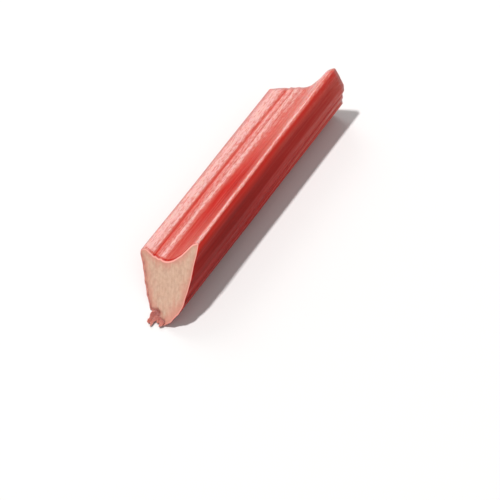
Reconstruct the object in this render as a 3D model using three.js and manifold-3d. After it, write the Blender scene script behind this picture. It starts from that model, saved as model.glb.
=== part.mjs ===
// A length of rhubarb leaf stalk, cut across at a slant at both ends and lying on its side.
// Millimetres. +X runs from the root-end cut to the leaf-end cut, +Z is up.
//
// The stalk is drawn in its own section frame: "across" runs from the left shoulder to the right one,
// "rise" is square to that, out of the channel. The section is then rolled over until the flat between
// two of its lower ribs meets the ground.

import * as THREE from "three";
import Module from "manifold-3d";

const wasm = await Module();
wasm.setup();

// Driving dimensions.
const HALF_WIDTH = 16.25;
const DEPTH = 24.8;
const AXIS_LENGTH = 104.6;
const LEAF_END_SCALE = 0.943;
const ROLL = THREE.MathUtils.degToRad(37);

// How far each cut slants: millimetres along the stalk for each millimetre across it and up it.
const ROOT_CUT = { across: 0.23, rise: 1.05 };
const LEAF_CUT = { across: 0.48, rise: -0.08 };

// How much of the two ribs' crowns that it lies on is pressed flat.
const FLAT_SPOT_DEPTH = 0.3;

// The section's outline without its ribs at each end of the stalk, from the left shoulder over the channel
// to the right shoulder, then round the back. Each point is a share of the half width and a share of the
// depth. The right shoulder is broad and flat at the root end and stands up taller at the leaf end, where
// the left one reaches further out.
const ROOT_SHARES = [
  [-0.87, -0.02],
  [-0.545, -0.11],
  [-0.035, -0.195],
  [0.373, -0.14],
  [0.82, -0.004],
  [0.985, -0.005],
  [0.994, -0.07],
  [0.895, -0.28],
  [0.815, -0.477],
  [0.672, -0.688],
  [0.553, -0.815],
  [-0.055, -0.996],
  [-0.3, -0.866],
  [-0.56, -0.75],
  [-0.783, -0.466],
  [-0.883, -0.275],
  [-1.017, -0.044],
];
const LEAF_SHARES = [
  [-0.92, -0.032],
  [-0.51, -0.118],
  [-0.048, -0.221],
  [0.38, -0.125],
  [0.85, 0.045],
  [1.02, 0.03],
  [1.017, -0.072],
  [0.965, -0.289],
  [0.872, -0.496],
  [0.65, -0.695],
  [0.445, -0.898],
  [-0.055, -0.996],
  [-0.3, -0.866],
  [-0.56, -0.75],
  [-0.773, -0.464],
  [-0.9, -0.258],
  [-1.09, -0.02],
];

// Ribs stand out of the outline and grooves, with a height below zero, cut into it. "at" is a share of the
// way round, "root" and "leaf" are the heights at the two ends, and "half" is half the rib's width.
const RIBS = [
  { at: 0.061, root: -0.18, leaf: -0.34, half: 0.8 },
  { at: 0.074, root: 0.1, leaf: 0.22, half: 0.6 },
  { at: 0.092, root: -0.12, leaf: -0.2, half: 0.8 },
  { at: 0.107, root: 0.18, leaf: 0.3, half: 1.2 },
  { at: 0.33, root: 0.2, leaf: 0.2, half: 0.9 },
  { at: 0.4, root: -0.05, leaf: -0.1, half: 1.2 },
  { at: 0.446, root: 0.05, leaf: 0.06, half: 0.8 },
  { at: 0.466, root: -0.03, leaf: -0.04, half: 0.8 },
  { at: 0.486, root: 0.06, leaf: 0.12, half: 0.8 },
  { at: 0.509, root: -0.1, leaf: -0.2, half: 0.8 },
  { at: 0.533, root: 0.1, leaf: 0.42, half: 1.1 },
  { at: 0.573, root: 0.15, leaf: 0.3, half: 1.1 },
  { at: 0.623, root: 0.3, leaf: 0.3, half: 1.1 },
  { at: 0.683, root: 0.4, leaf: 0.4, half: 1.3 },
  { at: 0.764, root: 0.55, leaf: 0.55, half: 1.5 },
  { at: 0.82, root: 0.3, leaf: 0.3, half: 1.0 },
  { at: 0.865, root: 0.3, leaf: 0.3, half: 1.0 },
  { at: 0.91, root: 0.25, leaf: 0.25, half: 1.0 },
  { at: 0.961, root: 0.2, leaf: 0.2, half: 1.0 },
];

// Two scraps of skin that tore instead of cutting clean, at the lower lip of the root-end cut. "across"
// and "rise" say where a scrap leaves the stalk, "reach" how far it stands out of the cut face, "turn" how
// far its tip strays to the side, and "droop" how far it sinks.
const TORN_SCRAPS = [
  { across: -5.1, rise: -20.6, reach: 6.6, width: 3.7, thickness: 1, turn: -0.2, droop: 0.7 },
  { across: -2.2, rise: -22.7, reach: 3.2, width: 4.8, thickness: 1, turn: -0.25, droop: 0.3 },
];

// Resolution.
const SIDES = 132;
const STATIONS = 15;
const SCRAP_SIDES = 8;
const SCRAP_STATIONS = 6;
const SCRAP_ROOT_DEPTH = 3;

// The middle of the flat between the two ribs that the stalk lies on.
const RESTING_POINT = new THREE.Vector2(-0.3 * HALF_WIDTH, -0.866 * DEPTH);

function sectionOutline(shares, end) {
  const corners = shares.map(([x, y]) => new THREE.Vector3(x * HALF_WIDTH, y * DEPTH, 0));
  const curve = new THREE.CatmullRomCurve3(corners, true, "centripetal");
  curve.arcLengthDivisions = 1200;
  const girth = curve.getLength();
  const smooth = curve.getSpacedPoints(SIDES);

  const outline = [];
  for (let i = 0; i < SIDES; i += 1) {
    const before = smooth[(i + SIDES - 1) % SIDES];
    const after = smooth[(i + 1) % SIDES];
    const outward = new THREE.Vector2(before.y - after.y, after.x - before.x).normalize();
    const height = ribHeight(i / SIDES, girth, end);
    outline.push(new THREE.Vector2(smooth[i].x, smooth[i].y).addScaledVector(outward, height));
  }
  return outline;
}

function ribHeight(at, girth, end) {
  let height = 0;
  for (const rib of RIBS) {
    const turnsAway = Math.abs(at - rib.at);
    const away = Math.min(turnsAway, 1 - turnsAway) * girth;
    height += rib[end] * Math.exp(-((away / rib.half) ** 2));
  }
  return height;
}

// From the section frame to the part's own frame.
function place(along, across, rise) {
  const y = -across * Math.cos(ROLL) + rise * Math.sin(ROLL);
  const z = across * Math.sin(ROLL) + rise * Math.cos(ROLL);
  return new THREE.Vector3(along, y, z);
}

function heightOf(corner) {
  return place(0, corner.x, corner.y).z;
}

// Lifts a corner of the section that would lie under the ground onto it.
function pressed(corner, ground) {
  const lift = Math.max(0, ground - heightOf(corner));
  return new THREE.Vector2(corner.x + lift * Math.sin(ROLL), corner.y + lift * Math.cos(ROLL));
}

function rootCutAt(across, rise) {
  return ROOT_CUT.across * across + ROOT_CUT.rise * rise;
}

function leafCutAt(across, rise) {
  return AXIS_LENGTH + LEAF_CUT.across * across + LEAF_CUT.rise * rise;
}

// One closed body through rings of equally many points, with both end rings filled from their middles.
function loft(rings) {
  const sides = rings[0].length;
  const last = rings.length - 1;
  const positions = [];
  for (const ring of rings) {
    for (const point of ring) {
      positions.push(point.x, point.y, point.z);
    }
  }
  for (const ring of [rings[0], rings[last]]) {
    const middle = new THREE.Vector3();
    for (const point of ring) {
      middle.addScaledVector(point, 1 / sides);
    }
    positions.push(middle.x, middle.y, middle.z);
  }
  const firstMiddle = rings.length * sides;

  const faces = [];
  for (let i = 0; i < last; i += 1) {
    for (let j = 0; j < sides; j += 1) {
      const next = (j + 1) % sides;
      const a = i * sides + j;
      const b = i * sides + next;
      const c = (i + 1) * sides + next;
      const d = (i + 1) * sides + j;
      faces.push(a, b, c, a, c, d);
    }
  }
  for (let j = 0; j < sides; j += 1) {
    const next = (j + 1) % sides;
    faces.push(firstMiddle, next, j);
    faces.push(firstMiddle + 1, last * sides + j, last * sides + next);
  }

  const geometry = new THREE.BufferGeometry();
  geometry.setAttribute("position", new THREE.Float32BufferAttribute(positions, 3));
  geometry.setIndex(faces);
  return geometry;
}

// The stalk narrows towards the leaf about the middle of the flat it lies on, so that it stays level.
function stalkLoft() {
  const rootOutline = sectionOutline(ROOT_SHARES, "root");
  const leafOutline = sectionOutline(LEAF_SHARES, "leaf");
  const ground = Math.min(...rootOutline.map(heightOf)) + FLAT_SPOT_DEPTH;
  const rings = [];
  for (let i = 0; i < STATIONS; i += 1) {
    const share = i / (STATIONS - 1);
    const scale = THREE.MathUtils.lerp(1, LEAF_END_SCALE, share);
    const ring = rootOutline.map((corner, j) => {
      const between = corner.clone().lerp(leafOutline[j], share);
      const scaled = between.sub(RESTING_POINT).multiplyScalar(scale).add(RESTING_POINT);
      const p = pressed(scaled, ground);
      const along = THREE.MathUtils.lerp(rootCutAt(p.x, p.y), leafCutAt(p.x, p.y), share);
      return place(along, p.x, p.y);
    });
    rings.push(ring);
  }
  return loft(rings);
}

// A scrap is a flat tongue that leaves the stalk along the skin and narrows to a blunt tip.
function scrapLoft(scrap) {
  const rings = [];
  const start = rootCutAt(scrap.across, scrap.rise) + SCRAP_ROOT_DEPTH;
  const base = place(start, scrap.across, scrap.rise);
  for (let i = 0; i < SCRAP_STATIONS; i += 1) {
    const share = i / (SCRAP_STATIONS - 1);
    const halfWidth = (scrap.width / 2) * (1 - 0.55 * share ** 2);
    const halfThickness = (scrap.thickness / 2) * (1 - 0.45 * share);
    const x = base.x - share * (SCRAP_ROOT_DEPTH + scrap.reach);
    const y = base.y + scrap.turn * share ** 2;
    const z = base.z - scrap.droop * share;
    const ring = [];
    for (let k = 0; k < SCRAP_SIDES; k += 1) {
      const angle = (-2 * Math.PI * k) / SCRAP_SIDES;
      ring.push(new THREE.Vector3(x, y + halfWidth * Math.cos(angle), z + halfThickness * Math.sin(angle)));
    }
    rings.push(ring);
  }
  return loft(rings);
}

function toSolid(geometry) {
  const mesh = new wasm.Mesh({
    numProp: 3,
    vertProperties: new Float32Array(geometry.attributes.position.array),
    triVerts: new Uint32Array(geometry.index.array),
  });
  return new wasm.Manifold(mesh);
}

function toGeometry(solid) {
  const mesh = solid.getMesh();
  const geometry = new THREE.BufferGeometry();
  geometry.setAttribute("position", new THREE.Float32BufferAttribute(mesh.vertProperties, 3));
  geometry.setIndex([...mesh.triVerts]);
  return geometry;
}

// The scraps grow out of the stalk's skin, so all is one body. It is moved to stand on the origin.
function stalkGeometry() {
  let solid = toSolid(stalkLoft());
  for (const scrap of TORN_SCRAPS) {
    solid = solid.add(toSolid(scrapLoft(scrap)));
  }

  const geometry = toGeometry(solid);
  geometry.computeBoundingBox();
  const middle = geometry.boundingBox.getCenter(new THREE.Vector3());
  geometry.translate(-middle.x, -middle.y, -geometry.boundingBox.min.z);
  geometry.computeVertexNormals();
  return geometry;
}

const skin = new THREE.MeshStandardMaterial({ color: "#b03a34", roughness: 0.4, metalness: 0 });

const stalk = new THREE.Mesh(stalkGeometry(), skin);
stalk.name = "stalk";

const rhubarb = new THREE.Group();
rhubarb.add(stalk);

export default rhubarb;
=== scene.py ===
# A cut length of rhubarb leaf stalk, lying on its side on a pale board. +X runs from the root-end cut to
# the leaf-end cut and +Z is up. Blender's objects are in metres. Sizes named in the stalk's section are in
# millimetres, and are turned to metres where its mesh is placed in the frame and in its materials.

import math

import bpy
import numpy as np
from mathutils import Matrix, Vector
from mathutils.geometry import delaunay_2d_cdt


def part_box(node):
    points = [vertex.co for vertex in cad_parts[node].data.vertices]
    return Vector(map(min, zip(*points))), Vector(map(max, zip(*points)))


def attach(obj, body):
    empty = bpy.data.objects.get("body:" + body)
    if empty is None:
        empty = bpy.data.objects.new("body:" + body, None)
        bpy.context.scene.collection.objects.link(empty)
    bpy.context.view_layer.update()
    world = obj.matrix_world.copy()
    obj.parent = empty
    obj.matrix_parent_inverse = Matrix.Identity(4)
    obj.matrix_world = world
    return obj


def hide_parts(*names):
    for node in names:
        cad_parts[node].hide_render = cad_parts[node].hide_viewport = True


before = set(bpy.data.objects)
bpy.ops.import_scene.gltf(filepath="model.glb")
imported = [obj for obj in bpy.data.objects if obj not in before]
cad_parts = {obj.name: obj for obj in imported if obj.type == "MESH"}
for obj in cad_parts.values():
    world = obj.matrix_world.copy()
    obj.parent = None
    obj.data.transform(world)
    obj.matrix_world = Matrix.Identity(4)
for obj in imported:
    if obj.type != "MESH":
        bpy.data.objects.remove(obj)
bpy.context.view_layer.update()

# ---------------------------------------------------------------------------------------------------------
# The camera. It looks down on the stalk from past its root end and from its right-hand side, through a
# long lens, so that the channel, the right flank and the root-end cut all show.

CAMERA_AIM = Vector((-0.01469, -0.02091, 0.0))
CAMERA_AZIMUTH = math.radians(-55.66)
CAMERA_ELEVATION = math.radians(62.64)
CAMERA_DISTANCE = 0.9886
CAMERA_LENS = 159.1

camera = bpy.data.objects.new("camera", bpy.data.cameras.new("camera"))
camera_direction = Vector((
    math.sin(CAMERA_AZIMUTH) * math.cos(CAMERA_ELEVATION),
    -math.cos(CAMERA_AZIMUTH) * math.cos(CAMERA_ELEVATION),
    math.sin(CAMERA_ELEVATION),
))
camera.location = CAMERA_AIM + CAMERA_DISTANCE * camera_direction
camera.rotation_euler = camera_direction.to_track_quat("Z", "Y").to_euler()
camera.data.lens = CAMERA_LENS
bpy.context.scene.collection.objects.link(camera)
bpy.context.scene.camera = camera

# ---------------------------------------------------------------------------------------------------------
# The lights. One small hard lamp high behind the stalk draws the shadows, a wide soft box lays the long
# highlights on the waxy ribs, and the white room fills the shaded side.

KEY_DIRECTION = Vector((-0.085, 0.382, 0.920))
KEY_STRENGTH = 2.6
KEY_SPREAD = math.radians(3.5)
SOFTBOX_DIRECTION = Vector((0.383, 0.64, 0.66))
SOFTBOX_DISTANCE = 1.4
SOFTBOX_SIZE = (0.6, 0.45)
SOFTBOX_POWER = 3.0
ROOM_STRENGTH = 0.36

key = bpy.data.objects.new("key_lamp", bpy.data.lights.new("key_lamp", "SUN"))
key.data.energy = KEY_STRENGTH
key.data.angle = KEY_SPREAD
key.rotation_euler = KEY_DIRECTION.to_track_quat("Z", "Y").to_euler()
bpy.context.scene.collection.objects.link(key)

softbox = bpy.data.objects.new("softbox", bpy.data.lights.new("softbox", "AREA"))
softbox.data.shape = "RECTANGLE"
softbox.data.size, softbox.data.size_y = SOFTBOX_SIZE
softbox.data.energy = SOFTBOX_POWER
softbox.location = SOFTBOX_DISTANCE * SOFTBOX_DIRECTION.normalized()
softbox.rotation_euler = SOFTBOX_DIRECTION.to_track_quat("Z", "Y").to_euler()
bpy.context.scene.collection.objects.link(softbox)

room = bpy.data.worlds.new("white_room")
room.use_nodes = True
room.node_tree.nodes["Background"].inputs["Color"].default_value = (1.0, 1.0, 1.0, 1.0)
room.node_tree.nodes["Background"].inputs["Strength"].default_value = ROOM_STRENGTH
bpy.context.scene.world = room
bpy.context.scene.view_settings.view_transform = "Standard"

# ---------------------------------------------------------------------------------------------------------
# The floor. A wide board of matt white laminate that the stalk lies on, which fills every view. It is not
# part of the object.

FLOOR_HALF = 6.0
BOARD_WHITE = "#EEECEB"


def linear(colour):
    """An sRGB hex colour as the linear RGBA that shaders take."""
    channels = [int(colour[i:i + 2], 16) / 255 for i in (1, 3, 5)]
    return [c / 12.92 if c <= 0.04045 else ((c + 0.055) / 1.055) ** 2.4 for c in channels] + [1.0]


def add_node(tree, kind, inputs=None, **settings):
    """Adds one node. An input takes a value, or another node's output socket to be linked from."""
    node = tree.nodes.new(kind)
    for name, value in settings.items():
        setattr(node, name, value)
    for name, value in (inputs or {}).items():
        if isinstance(value, bpy.types.NodeSocket):
            tree.links.new(value, node.inputs[name])
        else:
            node.inputs[name].default_value = value
    return node


def new_material(name):
    """A material that has no nodes yet, and its node tree."""
    material = bpy.data.materials.new(name)
    material.use_nodes = True
    material.node_tree.nodes.clear()
    return material, material.node_tree


def matt_laminate():
    """Matt white laminate: even and slightly warm, with no gloss that would mirror the stalk."""
    material, tree = new_material("matt_white_laminate")
    surface = add_node(tree, "ShaderNodeBsdfPrincipled", {
        "Base Color": linear(BOARD_WHITE),
        "Roughness": 0.9,
        "Specular IOR Level": 0.1,
    })
    add_node(tree, "ShaderNodeOutputMaterial", {"Surface": surface.outputs["BSDF"]})
    return material


floor_mesh = bpy.data.meshes.new("floor")
floor_corners = [(x * FLOOR_HALF, y * FLOOR_HALF, 0.0) for x, y in ((-1, -1), (1, -1), (1, 1), (-1, 1))]
floor_mesh.from_pydata(floor_corners, [], [(0, 1, 2, 3)])
floor_mesh.materials.append(matt_laminate())
floor = bpy.data.objects.new("floor", floor_mesh)
bpy.context.scene.collection.objects.link(floor)

# ---------------------------------------------------------------------------------------------------------
# The stalk. One length of rhubarb leaf stalk: juicy flesh threaded with strings of fibre, in a thin waxy
# skin that stands up in ribs over the strings nearest to it. It grew as one piece, was cut across at a
# slant at both ends, and lies on two of its lower ribs.

# Its section, in millimetres and in shares of them, in the section's own frame: "across" runs from the
# left shoulder to the right one, and "rise" is square to that, out of the channel. Each cut leans along
# the stalk by so much per millimetre across and per millimetre of rise.
HALF_WIDTH = 16.25
DEPTH = 24.8
AXIS_LENGTH = 104.6
LEAF_END_SCALE = 0.943
ROLL = math.radians(37)
ROOT_CUT = {"across": 0.23, "rise": 1.05}
LEAF_CUT = {"across": 0.48, "rise": -0.08}
FLAT_SPOT_DEPTH = 0.3
ROOT_SHARES = [
    (-0.87, -0.02),
    (-0.545, -0.11),
    (-0.035, -0.195),
    (0.373, -0.14),
    (0.82, -0.004),
    (0.985, -0.005),
    (0.994, -0.07),
    (0.895, -0.28),
    (0.815, -0.477),
    (0.672, -0.688),
    (0.553, -0.815),
    (-0.055, -0.996),
    (-0.3, -0.866),
    (-0.56, -0.75),
    (-0.783, -0.466),
    (-0.883, -0.275),
    (-1.017, -0.044),
]
LEAF_SHARES = [
    (-0.92, -0.032),
    (-0.51, -0.118),
    (-0.048, -0.221),
    (0.38, -0.125),
    (0.85, 0.045),
    (1.02, 0.03),
    (1.017, -0.072),
    (0.965, -0.289),
    (0.872, -0.496),
    (0.65, -0.695),
    (0.445, -0.898),
    (-0.055, -0.996),
    (-0.3, -0.866),
    (-0.56, -0.75),
    (-0.773, -0.464),
    (-0.9, -0.258),
    (-1.09, -0.02),
]

# Both sections share the corner that the stalk rests on.
RESTING_CORNER = 12
RESTING_POINT = np.array(ROOT_SHARES[RESTING_CORNER]) * (HALF_WIDTH, DEPTH)

# Ribs and, with a height below zero, grooves. Most of those that the light picks out stand up towards the
# leaf: (share of the way round, height at the root end, height at the leaf end, half width).
RIBS = [
    (0.061, -0.18, -0.34, 0.8),
    (0.074, 0.1, 0.22, 0.6),
    (0.092, -0.12, -0.2, 0.8),
    (0.107, 0.18, 0.3, 1.2),
    (0.33, 0.2, 0.2, 0.9),
    (0.4, -0.05, -0.1, 1.2),
    (0.446, 0.05, 0.06, 0.8),
    (0.466, -0.03, -0.04, 0.8),
    (0.486, 0.06, 0.12, 0.8),
    (0.509, -0.1, -0.2, 0.8),
    (0.533, 0.1, 0.42, 1.1),
    (0.573, 0.15, 0.3, 1.1),
    (0.623, 0.3, 0.3, 1.1),
    (0.683, 0.4, 0.4, 1.3),
    (0.764, 0.55, 0.55, 1.5),
    (0.82, 0.3, 0.3, 1.0),
    (0.865, 0.3, 0.3, 1.0),
    (0.91, 0.25, 0.25, 1.0),
    (0.961, 0.2, 0.2, 1.0),
]

# Points of the outline between two of its corners, points of a ring of skin, rings between the two cuts,
# the rounding of a cut's edge, and how far the skin has come in where it is half way round that.
CURVE_STEPS = 360
SIDES = 480
STATIONS = 112
CUT_EDGE_RADIUS = 0.3
HALF_ROUNDED = CUT_EDGE_RADIUS * (1 - math.cos(math.pi / 4))


def closed_curve(corners, steps):
    """A smooth closed line through the corners, as a centripetal Catmull-Rom spline."""
    before, start, end, after = (np.roll(corners, shift, axis=0) for shift in (1, 0, -1, -2))
    pace_before, pace, pace_after = (
        np.sqrt(np.linalg.norm(b - a, axis=1))[:, None]
        for a, b in ((before, start), (start, end), (end, after))
    )
    leaving = (start - before) / pace_before - (end - before) / (pace_before + pace) + (end - start) / pace
    arriving = (end - start) / pace - (after - start) / (pace + pace_after) + (after - end) / pace_after
    leaving *= pace
    arriving *= pace
    share = np.arange(steps)[None, :, None] / steps
    start, end, leaving, arriving = (part[:, None, :] for part in (start, end, leaving, arriving))
    square_term = 3 * (end - start) - 2 * leaving - arriving
    cube_term = 2 * (start - end) + leaving + arriving
    return (start + leaving * share + square_term * share ** 2 + cube_term * share ** 3).reshape(-1, 2)


def evenly_spaced(curve, count):
    """Points the same distance apart along a closed line, and the line's length."""
    looped = np.vstack([curve, curve[:1]])
    reached = np.concatenate([[0], np.cumsum(np.linalg.norm(np.diff(looped, axis=0), axis=1))])
    wanted = np.arange(count) / count * reached[-1]
    points = np.column_stack([np.interp(wanted, reached, looped[:, k]) for k in (0, 1)])
    return points, reached[-1]


def section_outline(shares):
    """The outline of a section without its ribs, as one ring of points, and its length."""
    return evenly_spaced(closed_curve(np.array(shares) * (HALF_WIDTH, DEPTH), CURVE_STEPS), SIDES)


root_outline, root_girth = section_outline(ROOT_SHARES)
leaf_outline, leaf_girth = section_outline(LEAF_SHARES)
girth = (root_girth + leaf_girth) / 2
round_share = np.arange(SIDES) / SIDES


def outward_of(ring):
    """The section's outward direction at each point of a ring that runs clockwise."""
    tangent = np.roll(ring, -1, axis=0) - np.roll(ring, 1, axis=0)
    outward = np.column_stack([-tangent[:, 1], tangent[:, 0]])
    return outward / np.linalg.norm(outward, axis=1)[:, None]


def distance_round(at, points=round_share):
    """Millimetres along the skin from a share of the way round to each of the ring's points."""
    turns = np.abs(points - at)
    return np.minimum(turns, 1 - turns) * girth


def hump(at, half):
    """A smooth hump over the ring's points: 1 at a share of the way round, and about a third at `half`
    millimetres to either side of it."""
    return np.exp(-(distance_round(at) / half) ** 2)


# Random patterns are told as (strength either way, width round and length along that they change over, in
# millimetres, seed). Their grid starts this far before the stalk's own zero and is this long, in axis
# lengths, so that it covers both slanting ends.
GRID_LEAD = 0.6
GRID_SPAN = 2.5
RIB_SWELL = (0.18, 4.0, 26.0, 1)
BROAD_STRINGS = (0.045, 1.1, 38.0, 2)
FINE_STRINGS = (0.03, 0.7, 17.0, 3)
FLESH_WAVES = (0.11, 13.0, 31.0, 4)


def wander(points_round, along, pattern):
    """A pattern's smooth random values at shares of the way round and millimetres along."""
    strength, width, length, seed = pattern
    cells = round(girth / width)
    rows = int(GRID_SPAN * AXIS_LENGTH / length) + 3
    values = np.random.default_rng(seed).uniform(-1, 1, (cells, rows))
    u, v = np.broadcast_arrays(points_round * cells, (along + GRID_LEAD * AXIS_LENGTH) / length)
    i, j = np.floor(u).astype(int), np.floor(v).astype(int)
    s, t = (3 * f ** 2 - 2 * f ** 3 for f in (u - i, v - j))
    near = values[i % cells, j] * (1 - s) + values[(i + 1) % cells, j] * s
    far = values[i % cells, j + 1] * (1 - s) + values[(i + 1) % cells, j + 1] * s
    return strength * (near * (1 - t) + far * t)


def rib_height(share):
    """How far the ribs stand out of the outline at each point of a ring."""
    return sum(
        (at_root + (at_leaf - at_root) * share) * hump(at, half)
        for at, at_root, at_leaf, half in RIBS
    )


def skin_height(share, along):
    """How far the skin stands out at each point of a ring: its ribs, which swell and sink a little along
    the stalk, the strings that show through between them, and slow waves in the flesh."""
    ribs = rib_height(share) * (1 + wander(round_share, along, RIB_SWELL))
    strings = wander(round_share, along, BROAD_STRINGS) + wander(round_share, along, FINE_STRINGS)
    return ribs + strings + wander(round_share, along, FLESH_WAVES)


def in_level_frame(along, ring):
    """From the section's frame to the stalk's level one, rolled over as it lies, still in millimetres."""
    y = -ring[:, 0] * math.cos(ROLL) + ring[:, 1] * math.sin(ROLL)
    z = ring[:, 0] * math.sin(ROLL) + ring[:, 1] * math.cos(ROLL)
    return np.column_stack([along, y, z])


def cut_at(cut, ring):
    """Where a slanted cut crosses the line along the stalk through each point of a ring."""
    return cut["across"] * ring[:, 0] + cut["rise"] * ring[:, 1]


def stood_out(outline, height):
    """An outline with its ribs on."""
    return outline + outward_of(outline) * height[:, None]


root_section = stood_out(root_outline, rib_height(0))
ground = in_level_frame(0 * round_share, root_section)[:, 2].min() + FLAT_SPOT_DEPTH


def pressed(ring):
    """Lifts what would lie under the ground onto it, so that the stalk rests on small flats."""
    height = in_level_frame(0 * ring[:, 0], ring)[:, 2]
    lift = np.maximum(0, ground - height)
    return ring + lift[:, None] * (math.sin(ROLL), math.cos(ROLL))


def section_ring(share, height, inset=0.0):
    """The section at a share of the way along, narrowed about the flat that the stalk rests on."""
    ring = stood_out(root_outline, height) * (1 - share) + stood_out(leaf_outline, height) * share
    ring = ring - inset * outward_of(ring)
    scale = 1 + (LEAF_END_SCALE - 1) * share
    return pressed((ring - RESTING_POINT) * scale + RESTING_POINT)


# At its lowest edge the root-end cut tore instead of parting. The skin there stands out of the cut in a
# ragged lip, by "mean" of its reach give or take LIP_TATTERS. The skin behind it is drawn out with it, over
# one part in "ends" of the stalk.
TORN_LIP = {"at": 0.722, "half": 4.2, "reach": 0.9, "mean": 0.45, "ends": 30}
LIP_TATTERS = (0.55, 1.0, 1000.0, 7)
torn_lip = TORN_LIP["reach"] * np.exp(-(distance_round(TORN_LIP["at"]) / TORN_LIP["half"]) ** 4)

rings = []
ring_shares = []


def add_ring(share, setback, inset=0.0):
    """One ring of the skin. `setback` keeps it that far from both cuts."""
    first = section_ring(share, rib_height(share))
    start = cut_at(ROOT_CUT, first) + setback
    end = AXIS_LENGTH + cut_at(LEAF_CUT, first) - setback
    height = skin_height(share, start * (1 - share) + end * share)
    ring = section_ring(share, height, inset)
    start = cut_at(ROOT_CUT, ring) + setback
    end = AXIS_LENGTH + cut_at(LEAF_CUT, ring) - setback
    tattered = TORN_LIP["mean"] + wander(round_share, start, LIP_TATTERS)
    ragged = torn_lip * tattered * max(0, 1 - TORN_LIP["ends"] * share)
    rings.append(in_level_frame(start * (1 - share) + end * share - ragged, ring))
    ring_shares.append(share)
    return ring


root_rim = add_ring(0, 0, CUT_EDGE_RADIUS)
add_ring(0, HALF_ROUNDED, HALF_ROUNDED)
for station in range(STATIONS):
    add_ring(station / (STATIONS - 1), CUT_EDGE_RADIUS)
add_ring(1, HALF_ROUNDED, HALF_ROUNDED)
leaf_rim = add_ring(1, 0, CUT_EDGE_RADIUS)

corners = np.vstack(rings)
last_ring = len(rings) - 1
faces = {"skin": [], "flesh": []}
for i in range(last_ring):
    kind = "flesh" if i in (0, last_ring - 1) else "skin"
    for j in range(SIDES):
        after = (j + 1) % SIDES
        faces[kind].append((i * SIDES + j, i * SIDES + after, (i + 1) * SIDES + after, (i + 1) * SIDES + j))

# How pale the skin is, from -0.5 for the deepest red to 1 for the palest pink. The channel is reddest a
# little short of half way along, and the flank nearer to the root end, where its deeper red is partly painted
# shade: (share of the way along, paleness). The flank, with the underside, runs from the right shoulder's
# crest round to the left shoulder's edge.
CHANNEL_PALENESS = [(0.0, 0.38), (0.2, 0.15), (0.4, 0.0), (0.55, 0.12), (0.7, 0.38), (1.0, 0.6)]
FLANK_PALENESS = [
    (0.0, 0.0),
    (0.1, -0.1),
    (0.25, -0.3),
    (0.45, -0.17),
    (0.6, 0.02),
    (0.8, 0.03),
    (0.92, 0.12),
    (1.0, 0.6),
]
FLANK_START = 0.332
FLANK_END = 0.985

# Ribs and shoulders have their own paleness: (share of the way round, half width in millimetres on its
# left and on its right, paleness at the root end, paleness at the leaf end). The palest bands, over the left
# shoulder, the middle ridge and the right shoulder's crest, are partly a painted highlight, and the two
# bands low on the flank are painted shade at the root end and partly a painted highlight at the leaf end.
# Those near the left shoulder lie some "turns" further round at the root end, until that share of the way
# along, and waver a little.
PALE_BANDS = [
    (0.06, 5.0, 5.0, 0.4, 0.62),
    (0.038, 1.1, 1.0, 0.9, 0.62),
    (0.076, 1.0, 1.0, 0.4, 0.9),
    (0.1, 2.0, 2.3, 0.88, 0.95),
    (0.09, 0.35, 0.35, 0.65, 0.5),
    (0.008, 3.6, 4.2, 1.0, 1.0),
    (0.055, 0.7, 0.5, 0.28, 0.5),
    (0.0585, 0.28, 0.28, 0.14, 0.42),
    (0.32, 1.4, 1.0, 0.75, 0.75),
    (0.328, 0.7, 0.7, 1.0, 0.4),
    (0.32, 0.4, 0.4, 1.15, 0.8),
    (0.346, 1.0, 3.2, 0.0, 0.72),
    (0.467, 1.3, 1.5, -0.45, 0.62),
    (0.528, 0.9, 0.9, -0.45, 0.5),
]
BAND_DRIFT = {"at": 0.065, "half": 3.0, "turns": 0.006, "until": 0.4}
BAND_WAVER = (0.0016, 9.0, 8.0, 20)

# Towards the leaf end the channel pales beside the right shoulder's crest, and a narrow line of it is
# darkened with painted shade. Both start at a share of the way along and are in full strength after some
# more.
CREST_HAZE = {"at": 0.298, "half": 5.5, "strength": 0.2, "starts": 0.1, "over": 0.45}
PAINTED_CREST_SHADE = {"at": 0.295, "half": 1.5, "strength": 0.28, "starts": 0.8, "over": 0.2}

# The flank's ribs are paler the higher they stand, partly a painted highlight along them, and fine and broad
# streaks run along all the skin.
RIB_PALENESS = 0.8
FINE_STREAKS = (0.07, 1.3, 30.0, 5)
BROAD_STREAKS = (0.05, 5.0, 45.0, 6)

# A painted glow stands for light coming through the skin just past the right shoulder's crest. The glow is
# whole for "crest" turns, fades over "half" millimetres with a ragged edge, and is weaker by "lost" at the
# leaf end, where all the flank has a painted glow by "flank".
PAINTED_GLOW = {"crest": 0.012, "half": 2.9, "lost": 0.5, "flank": 0.33}
PAINTED_GLOW_EDGE = (0.3, 2.0, 22.0, 8)

# Where the red is bright elsewhere: (share of the way round, half width, brightness at the root end, a
# little short of half way and at the leaf end).
BRIGHT_BANDS = [
    (0.062, 0.9, 0.3, 0.3, 0.2),
    (0.081, 0.6, 0.15, 0.15, 0.15),
    (0.15, 2.9, 0.05, 0.25, 0.0),
]
BRIGHT_AT = [0.0, 0.4, 1.0]

# The left shoulder's edge is darkened with painted shade. Along the channel's lip of the root-end cut, a line
# of painted shade lies in the skin just behind the pale rim, in the first ring behind its rounding: as far as
# "until" of the way round, where it fades over the last "over" of it.
PAINTED_SHOULDER_SHADE = {"at": 0.978, "half": 1.1, "strength": 0.9}
PAINTED_LIP_SHADE = {"strength": 0.5, "until": 0.3, "over": 0.02}
LIP_SHADE_RING = 2

past_crest = np.clip((round_share - FLANK_START) * girth, 0, 1)
on_flank = past_crest * (1 - np.clip((round_share - FLANK_END) * girth, 0, 1))


def growing_hump(band, share):
    """A hump round the ring that grows along the stalk."""
    grown = np.clip((share - band["starts"]) / band["over"], 0, 1)
    return band["strength"] * hump(band["at"], band["half"]) * grown


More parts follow.
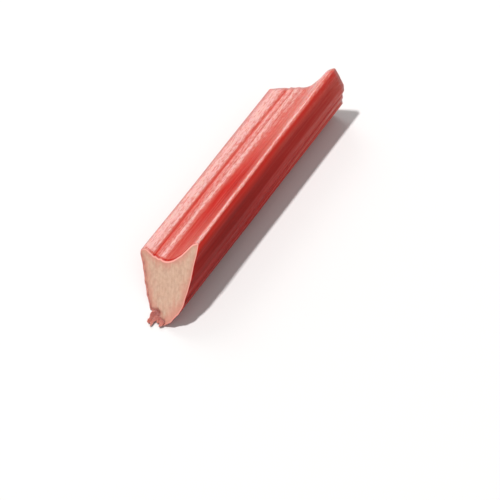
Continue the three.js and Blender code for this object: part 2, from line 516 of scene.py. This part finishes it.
def band_reach(share, along, at, left, right):
    """How much a band of colour shows at each point of a ring."""
    drift = BAND_DRIFT["turns"] * max(0, 1 - share / BAND_DRIFT["until"])
    drift = drift + wander(round_share, along, BAND_WAVER)
    beside_shoulder = hump(BAND_DRIFT["at"], BAND_DRIFT["half"])
    distance = distance_round(at, round_share - drift * beside_shoulder)
    return np.exp(-(distance / np.where(round_share < at, left, right)) ** 2)


def paleness_of(share, along):
    """How pale the skin is at each point of a ring, before its finest streaks and specks."""
    channel = np.interp(share, *np.transpose(CHANNEL_PALENESS)) + growing_hump(CREST_HAZE, share)
    flank = np.interp(share, *np.transpose(FLANK_PALENESS))
    shown = channel * (1 - on_flank) + flank * on_flank
    for at, left, right, at_root, at_leaf in PALE_BANDS:
        band = band_reach(share, along, at, left, right)
        shown = shown + (at_root + (at_leaf - at_root) * share - shown) * band
    pale_ribs = RIB_PALENESS * share ** 2 * rib_height(share) * on_flank
    streaks = wander(round_share, along, FINE_STREAKS) + wander(round_share, along, BROAD_STREAKS)
    return shown + pale_ribs + streaks


def painted_glow_and_brightness_of(share, along):
    """How much the red is brightened at each point of a ring: a painted glow past the crest, and the bright
    bands.
    """
    ragged = PAINTED_GLOW["half"] * (1 + wander(round_share, along, PAINTED_GLOW_EDGE))
    below_crest = np.maximum(0, (round_share - FLANK_START - PAINTED_GLOW["crest"]) * girth)
    glow = np.exp(-(below_crest / ragged) ** 2) * (1 - PAINTED_GLOW["lost"] * share ** 3)
    shown = on_flank * (glow + PAINTED_GLOW["flank"] * share ** 2)
    for at, half, *strengths in BRIGHT_BANDS:
        shown = shown + np.interp(share, BRIGHT_AT, strengths) * band_reach(share, along, at, half, half)
    return np.clip(shown, 0, 1)


def painted_shade_of(share):
    """How much painted shade, in the dried colour, the skin has at each point of a ring."""
    return PAINTED_SHOULDER_SHADE["strength"] * hump(PAINTED_SHOULDER_SHADE["at"], PAINTED_SHOULDER_SHADE["half"]) + growing_hump(PAINTED_CREST_SHADE, share)


pale = np.concatenate([paleness_of(share, ring[:, 0]) for share, ring in zip(ring_shares, rings)])
bright = np.concatenate([painted_glow_and_brightness_of(share, ring[:, 0]) for share, ring in zip(ring_shares, rings)])
# A line of painted shade in the skin just behind the channel's lip of the root-end cut.
before_lip_shade_ends = np.clip((PAINTED_LIP_SHADE["until"] - round_share) / PAINTED_LIP_SHADE["over"], 0, 1)
pale[LIP_SHADE_RING * SIDES:(LIP_SHADE_RING + 1) * SIDES] -= PAINTED_LIP_SHADE["strength"] * before_lip_shade_ends

# The strings of fibre in the flesh: a scattered lattice of them inside, and one under each rib. The cover
# is the flesh between the skin and a rib's string, and the others keep a gap to those.
STRING_SPACING = 2.8
STRING_SCATTER = 0.55
STRING_RADIUS = 0.36
STRING_COVER = 1.5
STRING_GAP = 0.9

# A cut face's corners lie in a lattice too, scattered by a share of its spacing. In a triangular lattice
# the rows are 0.866 of the spacing apart.
CUT_GRID = 0.27
CUT_GRID_SCATTER = 0.12
ROW_PITCH = 0.866


def distance_inside(points, ring):
    """How deep each point lies inside a ring, below zero outside it, and the nearest point's number."""
    gaps = np.linalg.norm(points[:, None, :] - ring[None, :, :], axis=2)
    nearest = gaps.argmin(axis=1)
    outward = outward_of(ring)[nearest]
    depth = -((points - ring[nearest]) * outward).sum(axis=1)
    return np.sign(depth) * gaps.min(axis=1), nearest


def lattice(spacing, scatter, seed):
    """Points in a triangular lattice over a box that holds every section, each moved a little at random."""
    random = np.random.default_rng(seed)
    top, height = 0.12 * DEPTH, 1.4 * DEPTH
    left, width = -1.1 * HALF_WIDTH, 2.2 * HALF_WIDTH
    points = []
    for row in range(int(height / (spacing * ROW_PITCH)) + 2):
        rise = top - row * spacing * ROW_PITCH
        for column in range(int(width / spacing) + 2):
            across = left + (column + 0.5 * (row % 2)) * spacing
            points.append((across, rise))
    points = np.array(points)
    return points + random.uniform(-scatter, scatter, points.shape)


rib_crests = [round(at * SIDES) % SIDES for at, height, _, _ in RIBS if height > 0]


def strings_in(rim):
    """Where the strings cross a cut."""
    scattered = lattice(STRING_SPACING, STRING_SCATTER, seed=11)
    depth, _ = distance_inside(scattered, rim)
    under_ribs = rim[rib_crests] - STRING_COVER * outward_of(rim)[rib_crests]
    return np.vstack([scattered[depth > STRING_COVER + STRING_GAP], under_ribs])


# How far the skin's red has run into the flesh, in millimetres, by the share of the way round, how unevenly
# it has, and the flesh's own streaks.
TINGE_ROUND = [0.0, 0.05, 0.3, 0.36, 0.44, 0.5, 0.62, 0.72, 0.85, 0.95, 1.0]
TINGE_REACH = [2.8, 2.2, 1.6, 1.4, 2.0, 3.4, 4.2, 3.0, 3.0, 3.2, 2.8]
TINGE_PATCHES = (0.4, 2.2, 3.0, 15)
TINGE_SPECKS = (0.3, 0.8, 1.4, 18)
FLESH_STREAKS = (1.0, 0.6, 2.6, 14)

# How clean and bright the skin's cut edge shows at the root-end cut, its brightness partly a painted
# highlight that is strongest along the channel, and how bruised it is, told in the same way. The bruise comes
# in flecks and fades over some millimetres.
RIM_LIGHT_ROUND = [0.0, 0.05, 0.12, 0.33, 0.36, 0.6, 0.68, 0.96, 1.0]
RIM_LIGHT = [0.75, 0.8, 1.0, 1.0, 0.7, 0.6, 0.1, 0.15, 0.75]
EDGE_BRUISE_ROUND = [0.0, 0.66, 0.7, 0.8, 0.95, 0.99]
EDGE_BRUISE = [0.0, 0.0, 0.8, 1.3, 1.1, 0.0]
BRUISE_FLECKS = (1.1, 0.7, 1.2, 19)
MEAN_FLECK = 0.45
BRUISE_FADE = 1.2

# Patches of the root-end cut's flesh were torn out: (across, rise, half width, half height). They fade over
# "fade" of their half sizes and are gone at "ends" of them.
TORN_PATCHES = [
    (-6.1, -20.8, 2.8, 1.5),
    (-2.5, -24.2, 2.1, 1.7),
]
TORN_PATCH = {"depth": 0.5, "ends": 1.5, "fade": 0.8}
TORN_EDGE = (0.25, 0.9, 1.4, 16)
TORN_FIBRES = (0.2, 0.5, 3.0, 17)

# The flesh has sunk this deep behind the skin's edge, over this much of the way in, and the string ends
# and a fine grain stand out of it.
SUNK = 0.16
SUNK_OVER = 0.9
STRING_RELIEF = 0.05
GRAIN_RELIEF = 0.015
GRAIN_SEED = 13

# What the triangulation takes: to keep only what is inside the rim, and how close two corners are one.
KEEP_INSIDE = 1
SAME_CORNER = 1e-6


def across_cut(points, pattern):
    """A pattern's random values at points of a cut face."""
    return wander(points[:, 0] / girth, points[:, 1], pattern)


def torn_at(points):
    """How torn the root-end cut is at points of the section: 1 in its torn patches, 0 where it is clean."""
    nearest = np.min([
        np.hypot((points[:, 0] - across) / half_width, (points[:, 1] - rise) / half_height)
        for across, rise, half_width, half_height in TORN_PATCHES
    ], axis=0)
    ends = TORN_PATCH["ends"] + across_cut(points, TORN_EDGE)
    return np.clip((ends - nearest) / TORN_PATCH["fade"], 0, 1)


def cut_face(rim, cut, share, outward_sign, first_corner):
    """The flesh inside a cut: its corners, its triangles and what each corner's colour depends on."""
    scale = 1 + (LEAF_END_SCALE - 1) * share
    inner = lattice(CUT_GRID, CUT_GRID_SCATTER * CUT_GRID, seed=12)
    inner = (inner - RESTING_POINT) * scale + RESTING_POINT
    depth, nearest = distance_inside(inner, rim)
    keep = depth > 0.5 * CUT_GRID
    inner, depth, nearest = inner[keep], depth[keep] + CUT_EDGE_RADIUS, nearest[keep]

    to_string = np.linalg.norm(inner[:, None, :] - strings_in(rim)[None, :, :], axis=2).min(axis=1)
    string = np.exp(-(to_string / STRING_RADIUS) ** 2)
    grain = np.random.default_rng(GRAIN_SEED).uniform(-1, 1, len(inner))
    sunk = SUNK * (1 - np.exp(-(depth - CUT_EDGE_RADIUS) / SUNK_OVER))
    torn = torn_at(inner) * (1 - share)
    torn_out = torn * (TORN_PATCH["depth"] + across_cut(inner, TORN_FIBRES))
    relief = STRING_RELIEF * string + GRAIN_RELIEF * grain - sunk - torn_out
    along = (AXIS_LENGTH if share else 0) + cut_at(cut, inner) + outward_sign * relief

    # The triangulation's corners are the rim's, which the skin's first or last ring already has, and then
    # the new ones.
    rim_edges = [(j, (j + 1) % SIDES) for j in range(SIDES)]
    flat = [Vector(p) for p in np.vstack([rim, inner])]
    _, _, triangles, originals, _, _ = delaunay_2d_cdt(flat, rim_edges, [], KEEP_INSIDE, SAME_CORNER)
    rim_start = last_ring * SIDES if share else 0
    numbers = []
    for group in originals:
        is_new = group[0] >= SIDES
        numbers.append(first_corner + group[0] - SIDES if is_new else rim_start + group[0])
    flesh = []
    for triangle in triangles:
        face = [numbers[index] for index in triangle]
        flesh.append(face if outward_sign < 0 else face[::-1])

    round_rim = nearest / SIDES
    reach = np.interp(round_rim, TINGE_ROUND, TINGE_REACH)
    patchy = 1 + across_cut(inner, TINGE_PATCHES)
    patchy = patchy + across_cut(inner, TINGE_SPECKS)
    flecks = np.clip(MEAN_FLECK + across_cut(inner, BRUISE_FLECKS), 0, 1)
    edge_bruise = np.interp(round_rim, EDGE_BRUISE_ROUND, EDGE_BRUISE) * (1 - share)
    looks = {
        "depth": depth,
        "tinge": np.exp(-(depth / (reach * patchy)) ** 2),
        "string": string,
        "streak": across_cut(inner, FLESH_STREAKS),
        "bruise": np.maximum(torn, edge_bruise * flecks * np.exp(-(depth / BRUISE_FADE) ** 2)),
        "rim_light": np.interp(round_rim, RIM_LIGHT_ROUND, RIM_LIGHT) * (1 - share),
    }
    return in_level_frame(along, inner), flesh, looks


def joined(corners, attributes, points, looks):
    """The stalk's corners and their attributes with more points after them. What the points' looks leave
    out is zero there."""
    grown = {}
    for name, known in attributes.items():
        grown[name] = np.concatenate([known, looks.get(name, np.zeros(len(points)))])
    return np.vstack([corners, points]), grown


# What each corner's colour depends on, beginning with the skin's rings. All round the leaf-end cut, which
# is older, the edge has dried, and the skin just behind it partly so. The same dried colour also lays painted
# shade on the left shoulder's edge and beside the crest.
EDGE_HALF_DRIED = 0.4
attributes = {
    "pale": pale,
    "bright": bright,
    "depth": np.zeros(len(corners)),
    "tinge": np.ones(len(corners)),
    "string": np.zeros(len(corners)),
    "streak": np.zeros(len(corners)),
    "bruise": np.zeros(len(corners)),
    "rim_light": np.zeros(len(corners)),
    "dried": np.concatenate([painted_shade_of(share) for share in ring_shares]),
}
attributes["depth"][:SIDES] = CUT_EDGE_RADIUS
attributes["depth"][-SIDES:] = CUT_EDGE_RADIUS
attributes["bruise"][:SIDES] = torn_at(root_rim)
attributes["rim_light"][:2 * SIDES] = np.tile(np.interp(round_share, RIM_LIGHT_ROUND, RIM_LIGHT), 2)
attributes["dried"][-3 * SIDES:] = 1
attributes["dried"][-4 * SIDES:-3 * SIDES] = EDGE_HALF_DRIED
for rim, cut, share, sign in ((root_rim, ROOT_CUT, 0, -1), (leaf_rim, LEAF_CUT, 1, 1)):
    points, triangles, looks = cut_face(rim, cut, share, sign, len(corners))
    corners, attributes = joined(corners, attributes, points, looks)
    faces["flesh"] += triangles

# Two flaps of skin hang out of the torn edge. "across" and "rise" say where a flap leaves the stalk,
# "reach" how far it hangs out, "turn" how far its tip strays to the side and "droop" how far it sinks. Its
# tip is split as deep as "fork", a share of it all, and is longer on one side by "slant". It is creased by
# "fold" along a line at "crease", from -1 on its right to 1 on its left.
TORN_FLAPS = [
    {
        "across": -5.1, "rise": -20.6, "reach": 6.8, "width": 3.9, "thickness": 0.8, "turn": -0.2,
        "droop": 0.7, "fork": 0.2, "slant": 0.08, "fold": 0.6, "crease": -0.15, "seed": 21,
    },
    {
        "across": -2.2, "rise": -22.7, "reach": 3.3, "width": 5.0, "thickness": 0.85, "turn": -0.25,
        "droop": 0.3, "fork": 0.22, "slant": 0.02, "fold": 0.45, "crease": 0.1, "seed": 22,
    },
]

# How far a flap is rooted in the stalk, how high it stays off the ground and how thin it may get, in
# millimetres, and the corners down and across it.
FLAP_ROOT_DEPTH = 3
FLAP_CLEARANCE = 0.03
FLAP_LEAST = 0.12
FLAP_ROWS = 28
FLAP_COLUMNS = 18

# As shares: how deep its tip is tattered and how much its corners are rounded off, how wide its fork is,
# how lumpy it is, how much narrower and thinner it is at its tip, and thinner along its sides. Tatters are
# spaced evenly across it, and lumps down it.
FLAP_TATTERS = 0.12
TATTER_COUNT = 8
FLAP_ROUNDING = 0.18
FORK_HALF = 0.3
FLAP_LUMPS = 0.2
LUMP_COUNT = 7
TIP_NARROWER = 0.3
TIP_THINNER = 0.5
SIDES_THINNER = 0.55

# A flap's flesh is most bruised at its root, where its darkness is partly painted shade, less and unevenly so
# towards its tip, and salmon all over. Its skin is a little paler than plain red, and the skin's cut edge
# shows over only a quarter of its usual width, with a paler rim inside it that is partly a painted highlight.
FLAP_BRUISE_AND_SHADE = {"root": 1.15, "lost": 0.9, "uneven": 0.15}
FLAP_PALE = 0.3
FLAP_TINGE = 1.5
FLAP_RIM_LIGHT = 0.2
FLAP_EDGE_THINNER = 4


def torn_flap(flap, first_corner):
    """A tongue of skin with some flesh on its upper side: its corners, its faces on either side and what
    each corner's colour depends on."""
    random = np.random.default_rng(flap["seed"])
    down, side = np.meshgrid(np.linspace(0, 1, FLAP_ROWS), np.linspace(-1, 1, FLAP_COLUMNS), indexing="ij")
    tatters = random.uniform(0, FLAP_TATTERS, TATTER_COUNT)
    ragged = np.interp(side, np.linspace(-1, 1, TATTER_COUNT), tatters)
    split = flap["fork"] * np.exp(-((side - flap["crease"]) / FORK_HALF) ** 2)
    outline = 1 - split - ragged - FLAP_ROUNDING * side ** 4 - flap["slant"] * side
    reach = (FLAP_ROOT_DEPTH + flap["reach"]) * outline / outline.max()
    lumps = 0
    for shape in (1, side, side ** 2):
        heights = random.uniform(-FLAP_LUMPS, FLAP_LUMPS, LUMP_COUNT)
        lumps = lumps + np.interp(down, np.linspace(0, 1, LUMP_COUNT), heights) * shape

    leaves_at = np.array([[flap["across"], flap["rise"]]])
    base = in_level_frame(cut_at(ROOT_CUT, leaves_at) + FLAP_ROOT_DEPTH, leaves_at)[0]
    half_width = flap["width"] / 2 * (1 - TIP_NARROWER * down ** 2)
    half_thickness = flap["thickness"] / 2 * (1 - TIP_THINNER * down) * (1 - SIDES_THINNER * side ** 4)
    x = base[0] - down * reach
    y = base[1] + flap["turn"] * down ** 2 + side * half_width * (1 + lumps)
    middle = base[2] + down * (flap["fold"] * np.abs(side - flap["crease"]) + lumps - flap["droop"])
    below = np.maximum(middle - half_thickness, ground + FLAP_CLEARANCE)
    above = np.maximum(middle + half_thickness, below + FLAP_LEAST)
    points = np.vstack([np.dstack([x, y, z]).reshape(-1, 3) for z in (above, below)])

    number = first_corner + np.arange(FLAP_ROWS * FLAP_COLUMNS).reshape(FLAP_ROWS, FLAP_COLUMNS)
    under = number + FLAP_ROWS * FLAP_COLUMNS
    flesh_side, skin_side = [], []
    for i in range(FLAP_ROWS - 1):
        for j in range(FLAP_COLUMNS - 1):
            flesh_side.append((number[i, j], number[i + 1, j], number[i + 1, j + 1], number[i, j + 1]))
            skin_side.append((under[i, j], under[i, j + 1], under[i + 1, j + 1], under[i + 1, j]))
    edge = [(i, 0) for i in range(FLAP_ROWS)] + [(FLAP_ROWS - 1, j) for j in range(1, FLAP_COLUMNS)]
    edge += [(i, FLAP_COLUMNS - 1) for i in range(FLAP_ROWS - 2, -1, -1)]
    edge += [(0, j) for j in range(FLAP_COLUMNS - 2, 0, -1)]
    for a, b in zip(edge, edge[1:] + edge[:1]):
        flesh_side.append((number[a], under[a], under[b], number[b]))

    from_edge = np.minimum((1 - np.abs(side)) * half_width, (1 - down) * reach)
    ones = np.ones(len(points))
    bruised_and_shaded = FLAP_BRUISE_AND_SHADE["root"] - FLAP_BRUISE_AND_SHADE["lost"] * np.tile(down.ravel(), 2)
    uneven = random.uniform(-FLAP_BRUISE_AND_SHADE["uneven"], FLAP_BRUISE_AND_SHADE["uneven"], len(points))
    looks = {
        "pale": FLAP_PALE * ones,
        "depth": np.concatenate([FLAP_EDGE_THINNER * from_edge.ravel(), 0 * from_edge.ravel()]),
        "tinge": FLAP_TINGE * ones,
        "bruise": np.clip(bruised_and_shaded + uneven, 0, 1),
        "rim_light": FLAP_RIM_LIGHT * ones,
    }
    return points, flesh_side, skin_side, looks


for flap in TORN_FLAPS:
    points, flesh_side, skin_side, looks = torn_flap(flap, len(corners))
    corners, attributes = joined(corners, attributes, points, looks)
    faces["flesh"] += flesh_side
    faces["skin"] += skin_side

# From the stalk's level frame to the part's, in metres. The leaf-end cut reaches furthest along, and the
# root-end section furthest to the left.
MM = 0.001
plain_start = section_ring(0, rib_height(0))
plain_end = section_ring(1, rib_height(1))
furthest_along = (AXIS_LENGTH + cut_at(LEAF_CUT, plain_end)).max()
furthest_left = in_level_frame(0 * round_share, plain_start)[:, 1].max()
stalk_low, stalk_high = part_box("stalk")
placed_at = (stalk_high[0], stalk_high[1], stalk_low[2])
corners = (corners - (furthest_along, furthest_left, ground)) * MM + placed_at

stalk_mesh = bpy.data.meshes.new("rhubarb_stalk")
stalk_mesh.from_pydata(corners.tolist(), [], faces["skin"] + faces["flesh"])
for name, values in attributes.items():
    layer = stalk_mesh.attributes.new(name, "FLOAT", "POINT")
    layer.data.foreach_set("value", values.astype(np.float32))
is_flesh = np.repeat([0, 1], [len(faces["skin"]), len(faces["flesh"])])
stalk_mesh.polygons.foreach_set("material_index", is_flesh)
stalk_mesh.shade_smooth()

# The skin's reds from the deepest, partly painted shade, to the palest, partly a painted highlight, the
# bright red that also paints the glow of light through the skin, and the dried parts' colour, which also lays
# painted shade on the left shoulder's edge and beside the crest.
SKIN_DEEP = "#84100B"
SKIN_RED = "#AD1910"
SKIN_PINK = "#C6655A"
SKIN_PALE = "#DFB0AA"
SKIN_BRIGHT = "#DC2F20"
SKIN_DRIED_AND_SHADE = "#B88A86"

# A colour mix node's factor and its two colours among its inputs, and its colour among its outputs. They
# are told by number, because its sockets for other kinds of value have the same names.
FACTOR, FIRST, SECOND, MIXED = 0, 6, 7, 2

# Most of a noise texture's values lie between these.
NOISE_LOW = 0.3
NOISE_HIGH = 0.7

# The skin's patterns, in millimetres across and as how much they are squeezed along the stalk, so that
# they are drawn out. The red lies in rows of cells about 0.1 mm wide, which are too fine to show, so the
# streaks and the grains of the speckle are drawn coarser. A streak stands this far out of the skin.
STREAK_WIDTH = 1.1
STREAK_SQUEEZE = 0.06
STREAK_RELIEF = 0.1
GRAIN_WIDTH = 0.6
GRAIN_SQUEEZE = 0.3

# How far light that has got into the skin and the flesh spreads before it comes out, in millimetres.
SKIN_GLOW_DEPTH = 3.0
FLESH_GLOW_DEPTH = 1.5

# Typical values for plant wax and for flesh that is mostly water.
WAX_IOR = 1.45
FLESH_IOR = 1.38


def waxy_skin():
    """Rhubarb skin: red sap under a clear waxy cuticle. It is satin, with soft streaks along the stalk where
    the red is thinner, and speckles over its palest parts: a faint bloom of wax, which also breaks up the
    painted highlight there."""
    material, tree = new_material("waxy_rhubarb_skin")
    place = add_node(tree, "ShaderNodeTexCoord").outputs["Object"]
    along = add_node(tree, "ShaderNodeMapping", {"Vector": place, "Scale": (STREAK_SQUEEZE, 1.0, 1.0)})
    streaks = add_node(tree, "ShaderNodeTexNoise", {
        "Vector": along.outputs["Vector"],
        "Scale": 1 / (STREAK_WIDTH * MM),
        "Detail": 3.0,
    })
    grained = add_node(tree, "ShaderNodeMapping", {"Vector": place, "Scale": (GRAIN_SQUEEZE, 1.0, 1.0)})
    speckle = add_node(tree, "ShaderNodeTexNoise", {
        "Vector": grained.outputs["Vector"],
        "Scale": 1 / (GRAIN_WIDTH * MM),
        "Detail": 3.0,
    })
    pale = add_node(tree, "ShaderNodeAttribute", attribute_name="pale").outputs["Fac"]
    bright = add_node(tree, "ShaderNodeAttribute", attribute_name="bright").outputs["Fac"]
    streak_shift = add_node(tree, "ShaderNodeMapRange", {
        "Value": streaks.outputs["Fac"],
        "From Min": NOISE_LOW,
        "From Max": NOISE_HIGH,
        "To Min": -0.1,
        "To Max": 0.1,
    })
    # Speckles over the palest parts, which also break up the painted highlight there.
    speckle_shift = add_node(tree, "ShaderNodeMapRange", {
        "Value": speckle.outputs["Fac"],
        "From Min": NOISE_LOW,
        "From Max": NOISE_HIGH,
        "To Min": -0.32,
        "To Max": 0.24,
    })
    speckled = add_node(tree, "ShaderNodeMath", {
        0: speckle_shift.outputs["Result"],
        1: pale,
        2: pale,
    }, operation="MULTIPLY_ADD")
    thinned = add_node(tree, "ShaderNodeMath", {
        0: speckled.outputs["Value"],
        1: streak_shift.outputs["Result"],
    }, operation="ADD")
    to_red = add_node(tree, "ShaderNodeMapRange", {
        "Value": thinned.outputs["Value"],
        "From Min": -0.5,
        "From Max": 0.0,
    })
    to_pink = add_node(tree, "ShaderNodeMapRange", {
        "Value": thinned.outputs["Value"],
        "From Min": 0.0,
        "From Max": 0.5,
    })
    to_pale = add_node(tree, "ShaderNodeMapRange", {
        "Value": thinned.outputs["Value"],
        "From Min": 0.5,
        "From Max": 1.0,
    })
    red = add_node(tree, "ShaderNodeMix", {
        FACTOR: to_red.outputs["Result"],
        FIRST: linear(SKIN_DEEP),
        SECOND: linear(SKIN_RED),
    }, data_type="RGBA")
    pink = add_node(tree, "ShaderNodeMix", {
        FACTOR: to_pink.outputs["Result"],
        FIRST: red.outputs[MIXED],
        SECOND: linear(SKIN_PINK),
    }, data_type="RGBA")
    colour = add_node(tree, "ShaderNodeMix", {
        FACTOR: to_pale.outputs["Result"],
        FIRST: pink.outputs[MIXED],
        SECOND: linear(SKIN_PALE),
    }, data_type="RGBA")
    # The painted glow of light through the skin past the crest, and the bright bands.
    glowing = add_node(tree, "ShaderNodeMix", {
        FACTOR: bright,
        FIRST: colour.outputs[MIXED],
        SECOND: linear(SKIN_BRIGHT),
    }, data_type="RGBA")
    # Painted shade on the left shoulder's edge and beside the crest, and the leaf end's dried edge.
    dried = add_node(tree, "ShaderNodeAttribute", attribute_name="dried").outputs["Fac"]
    edged = add_node(tree, "ShaderNodeMix", {
        FACTOR: dried,
        FIRST: glowing.outputs[MIXED],
        SECOND: linear(SKIN_DRIED_AND_SHADE),
    }, data_type="RGBA")
    roughness = add_node(tree, "ShaderNodeMapRange", {
        "Value": speckle.outputs["Fac"],
        "From Min": NOISE_LOW,
        "From Max": NOISE_HIGH,
        "To Min": 0.28,
        "To Max": 0.4,
    })
    grain = add_node(tree, "ShaderNodeBump", {
        "Height": streaks.outputs["Fac"],
        "Strength": 0.25,
        "Distance": STREAK_RELIEF * MM,
    })
    surface = add_node(tree, "ShaderNodeBsdfPrincipled", {
        "Base Color": edged.outputs[MIXED],
        "Roughness": roughness.outputs["Result"],
        "Normal": grain.outputs["Normal"],
        "IOR": WAX_IOR,
        "Specular IOR Level": 0.1,
        "Subsurface Weight": 0.6,
        "Subsurface Radius": (1.0, 0.14, 0.08),
        "Subsurface Scale": SKIN_GLOW_DEPTH * MM,
    })
    add_node(tree, "ShaderNodeOutputMaterial", {"Surface": surface.outputs["BSDF"]})
    return material


# The flesh, its string ends and its torn patches, darker partly as painted shade, and the rim round a cut:
# a pale line of flesh, partly a painted highlight, and the skin's own edge.
FLESH_CREAM = "#D0AC95"
FLESH_SHADE = "#C29C86"
FLESH_SALMON = "#CC7568"
FLESH_STRING = "#D6B89C"
FLESH_TORN = "#9C504A"
FLESH_TORN_DARK = "#763531"
RIM_PINK = "#FBB2A5"
RIM_DULL = "#B97266"
RIM_RED = "#A83A38"
RIM_DRIED = "#B88A86"

# The flesh's patterns, in millimetres: wetter and drier patches, and its cells. Real cells are about
# 0.15 mm across, too fine to show, so they are drawn coarser.
PATCH_WIDTH = 1.6
CELL_WIDTH = 0.5
CELL_RELIEF = 0.15

# How deep in from a cut's outer edge the skin's own line has faded out, and where the pale rim under it,
# partly a painted highlight, starts to fade and is gone, in millimetres.
SKIN_EDGE = 0.3
RIM_WHOLE = 0.38
RIM_GONE = 0.82

# How strongly the streaks, the string ends and the skin's red show in the flesh.
STREAKS_SHOW = 0.14
STRINGS_SHOW = 0.4
RED_SHOWS = 0.6


def cut_flesh():
    """Fresh-cut rhubarb flesh: pale, wet and faintly see-through, with the string ends a little paler than
    the flesh round them, salmon near the skin, and the skin's own cut edge as a thin pink line with a pale
    rim inside it, partly a painted highlight where the rounded edge catches the lamp. Torn and bruised flesh
    is mauve, its dark flecks partly painted shade."""
    material, tree = new_material("cut_rhubarb_flesh")
    place = add_node(tree, "ShaderNodeTexCoord").outputs["Object"]
    mottle = add_node(tree, "ShaderNodeTexNoise", {
        "Vector": place,
        "Scale": 1 / (PATCH_WIDTH * MM),
        "Detail": 4.0,
    })
    fine = add_node(tree, "ShaderNodeTexNoise", {
        "Vector": place,
        "Scale": 1 / (CELL_WIDTH * MM),
        "Detail": 3.0,
    })
    depth, tinge, string, streak, bruise, rim_light = (
        add_node(tree, "ShaderNodeAttribute", attribute_name=name).outputs["Fac"]
        for name in ("depth", "tinge", "string", "streak", "bruise", "rim_light")
    )
    streaky = add_node(tree, "ShaderNodeMath", {
        0: streak,
        1: STREAKS_SHOW,
        2: mottle.outputs["Fac"],
    }, operation="MULTIPLY_ADD")
    patch = add_node(tree, "ShaderNodeMapRange", {
        "Value": streaky.outputs["Value"],
        "From Min": 0.33,
        "From Max": 0.67,
    })
    flesh = add_node(tree, "ShaderNodeMix", {
        FACTOR: patch.outputs["Result"],
        FIRST: linear(FLESH_SHADE),
        SECOND: linear(FLESH_CREAM),
    }, data_type="RGBA")
    string_patch = add_node(tree, "ShaderNodeMath", {0: string, 1: STRINGS_SHOW}, operation="MULTIPLY")
    stringy = add_node(tree, "ShaderNodeMix", {
        FACTOR: string_patch.outputs["Value"],
        FIRST: flesh.outputs[MIXED],
        SECOND: linear(FLESH_STRING),
    }, data_type="RGBA")
    blush = add_node(tree, "ShaderNodeMath", {0: tinge, 1: RED_SHOWS}, operation="MULTIPLY")
    tinged = add_node(tree, "ShaderNodeMix", {
        FACTOR: blush.outputs["Value"],
        FIRST: stringy.outputs[MIXED],
        SECOND: linear(FLESH_SALMON),
    }, data_type="RGBA")
    shreds = add_node(tree, "ShaderNodeMapRange", {
        "Value": fine.outputs["Fac"],
        "From Min": 0.35,
        "From Max": 0.6,
    })
    torn = add_node(tree, "ShaderNodeMix", {
        FACTOR: shreds.outputs["Result"],
        FIRST: linear(FLESH_TORN_DARK),
        SECOND: linear(FLESH_TORN),
    }, data_type="RGBA")
    # Torn and bruised flesh, its darkness partly painted shade in the torn hollows.
    bruised_and_shaded = add_node(tree, "ShaderNodeMix", {
        FACTOR: bruise,
        FIRST: tinged.outputs[MIXED],
        SECOND: torn.outputs[MIXED],
    }, data_type="RGBA")
    rim_colour = add_node(tree, "ShaderNodeMix", {
        FACTOR: rim_light,
        FIRST: linear(RIM_DULL),
        SECOND: linear(RIM_PINK),
    }, data_type="RGBA")
    in_rim = add_node(tree, "ShaderNodeMapRange", {
        "Value": depth,
        "From Min": RIM_GONE,
        "From Max": RIM_WHOLE,
    })
    rimmed = add_node(tree, "ShaderNodeMix", {
        FACTOR: in_rim.outputs["Result"],
        FIRST: bruised_and_shaded.outputs[MIXED],
        SECOND: rim_colour.outputs[MIXED],
    }, data_type="RGBA")
    in_skin = add_node(tree, "ShaderNodeMapRange", {
        "Value": depth,
        "From Min": SKIN_EDGE,
        "From Max": 0.0,
    })
    skin_edge = add_node(tree, "ShaderNodeMix", {
        FACTOR: rim_light,
        FIRST: linear(RIM_DRIED),
        SECOND: linear(RIM_RED),
    }, data_type="RGBA")
    colour = add_node(tree, "ShaderNodeMix", {
        FACTOR: in_skin.outputs["Result"],
        FIRST: rimmed.outputs[MIXED],
        SECOND: skin_edge.outputs[MIXED],
    }, data_type="RGBA")
    wetness = add_node(tree, "ShaderNodeMapRange", {
        "Value": fine.outputs["Fac"],
        "From Min": NOISE_LOW,
        "From Max": NOISE_HIGH,
        "To Min": 0.4,
        "To Max": 0.62,
    })
    cells = add_node(tree, "ShaderNodeBump", {
        "Height": fine.outputs["Fac"],
        "Strength": 0.35,
        "Distance": CELL_RELIEF * MM,
    })
    surface = add_node(tree, "ShaderNodeBsdfPrincipled", {
        "Base Color": colour.outputs[MIXED],
        "Roughness": wetness.outputs["Result"],
        "Normal": cells.outputs["Normal"],
        "IOR": FLESH_IOR,
        "Subsurface Weight": 0.25,
        "Subsurface Radius": (1.0, 0.6, 0.4),
        "Subsurface Scale": FLESH_GLOW_DEPTH * MM,
    })
    add_node(tree, "ShaderNodeOutputMaterial", {"Surface": surface.outputs["BSDF"]})
    return material


stalk_mesh.materials.append(waxy_skin())
stalk_mesh.materials.append(cut_flesh())
stalk = bpy.data.objects.new("rhubarb_stalk", stalk_mesh)
bpy.context.scene.collection.objects.link(stalk)
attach(stalk, "root")
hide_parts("stalk")
